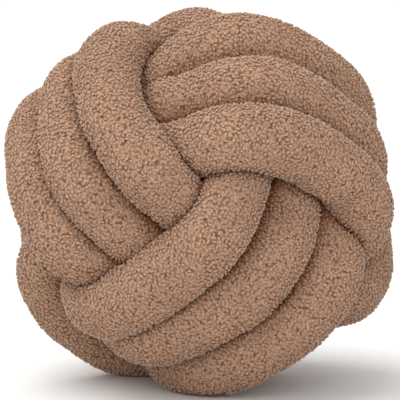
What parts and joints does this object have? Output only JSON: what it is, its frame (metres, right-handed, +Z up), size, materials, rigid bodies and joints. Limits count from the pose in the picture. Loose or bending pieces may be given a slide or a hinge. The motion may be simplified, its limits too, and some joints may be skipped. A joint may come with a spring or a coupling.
{
  "type": "knot cushion",
  "caption": "Ball-shaped knot cushion tied from one long stuffed tube of camel boucle cloth, with a small flat spot to rest on.",
  "frame": {"origin": "on the surface the cushion rests on, under the middle of its box", "axes": "+Z up as it rests; -Y towards the side the picture shows; +X to the right of that side"},
  "size_m": [0.302, 0.3038, 0.2926],
  "materials": {
    "boucle": "curly boucle pile, matt"
  },
  "bodies": {
    "root": {"knotted_tube": "boucle"}
  },
  "joints": []
}
